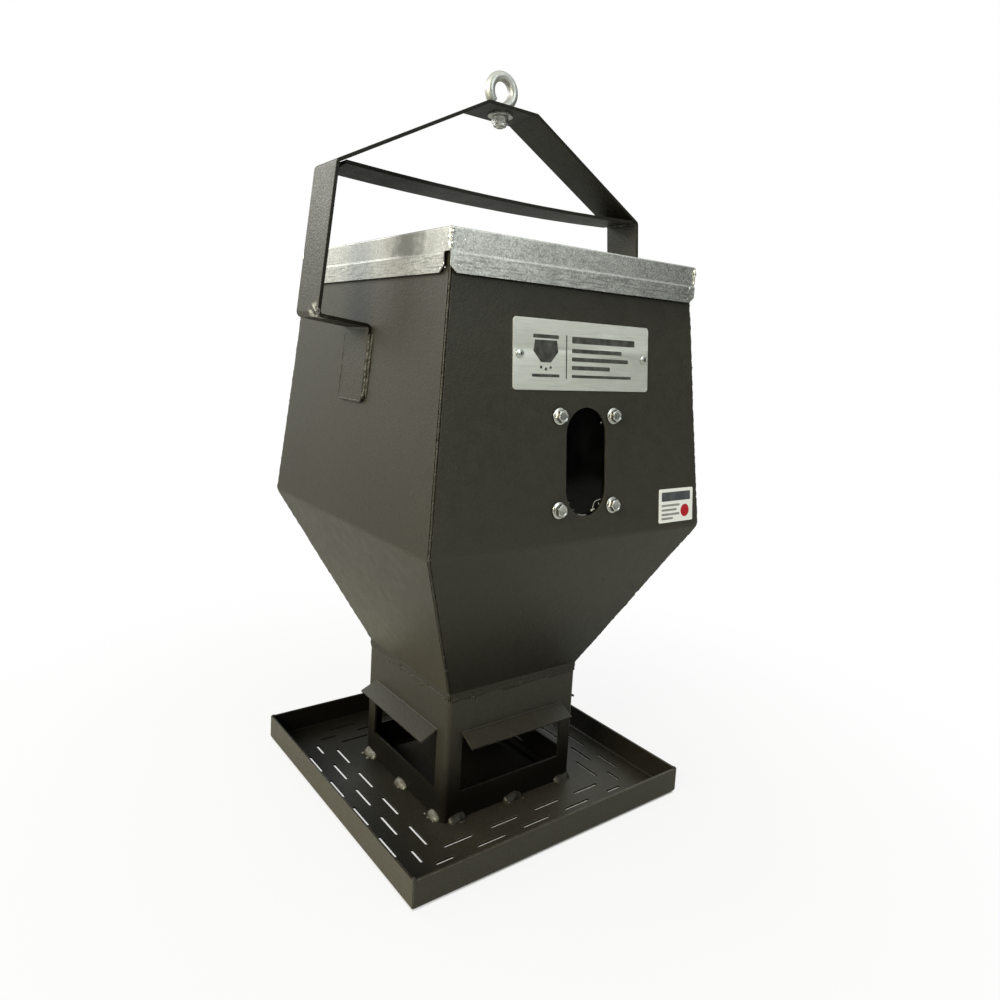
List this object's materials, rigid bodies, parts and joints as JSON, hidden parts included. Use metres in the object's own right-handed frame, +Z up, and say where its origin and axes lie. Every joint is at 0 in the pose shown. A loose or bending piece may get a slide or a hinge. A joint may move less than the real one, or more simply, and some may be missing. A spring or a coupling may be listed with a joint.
{
  "type": "gravity game feeder",
  "caption": "Square sheet-steel hopper on a ported neck and slotted tray, with lift-off lid, sight window and hanging strap; feed falls by gravity to the ports.",
  "frame": {"origin": "centre of the tray's underside, on the ground", "axes": "+Z up, -Y out of the front that carries the nameplate and sight window, +X to the right seen from the front"},
  "size_m": [0.3748, 0.3086, 0.6936],
  "materials": {
    "powder_coat": "dark bronze textured powder coat",
    "galvanised_sheet": "galvanised, fine spangle",
    "zinc_hardware": "bright zinc plate",
    "clear_pane": "clear plastic sheet",
    "nameplate_metal": "satin, brushed along its length",
    "label_film": "printed film"
  },
  "bodies": {
    "feeder": {"feed_tray": "powder_coat", "tray_corner_welds": "powder_coat", "feed_neck": "powder_coat", "neck_foot_welds": "powder_coat", "feed_diverter": "powder_coat", "front_panel": "powder_coat", "back_panel": "powder_coat", "left_panel": "powder_coat", "right_panel": "powder_coat", "corner_seam_welds": "powder_coat", "throat_welds": "powder_coat", "sight_pane": "clear_pane", "window_bolts": "zinc_hardware", "window_nuts": "zinc_hardware", "nameplate": "nameplate_metal", "nameplate_rivets": "zinc_hardware", "label": "label_film", "handle_strap": "powder_coat", "cross_bar": "powder_coat", "cross_bar_welds": "powder_coat", "tab_welds": "powder_coat"},
    "lid": {"lid": "galvanised_sheet", "lid_corner_welds": "galvanised_sheet"},
    "hanging_eye": {"eye_bolt": "zinc_hardware", "eye_washer": "zinc_hardware", "eye_nut": "zinc_hardware"}
  },
  "joints": [
    {"name": "lid_lift", "type": "slide", "parent": "feeder", "child": "lid", "axis": [0, 0, 1], "range_m": [0, 0.045]},
    {"name": "eye_swivel", "type": "hinge", "parent": "feeder", "child": "hanging_eye", "pos_m": [0, 0, 0.655], "axis": [0, 0, 1], "continuous": true}
  ]
}
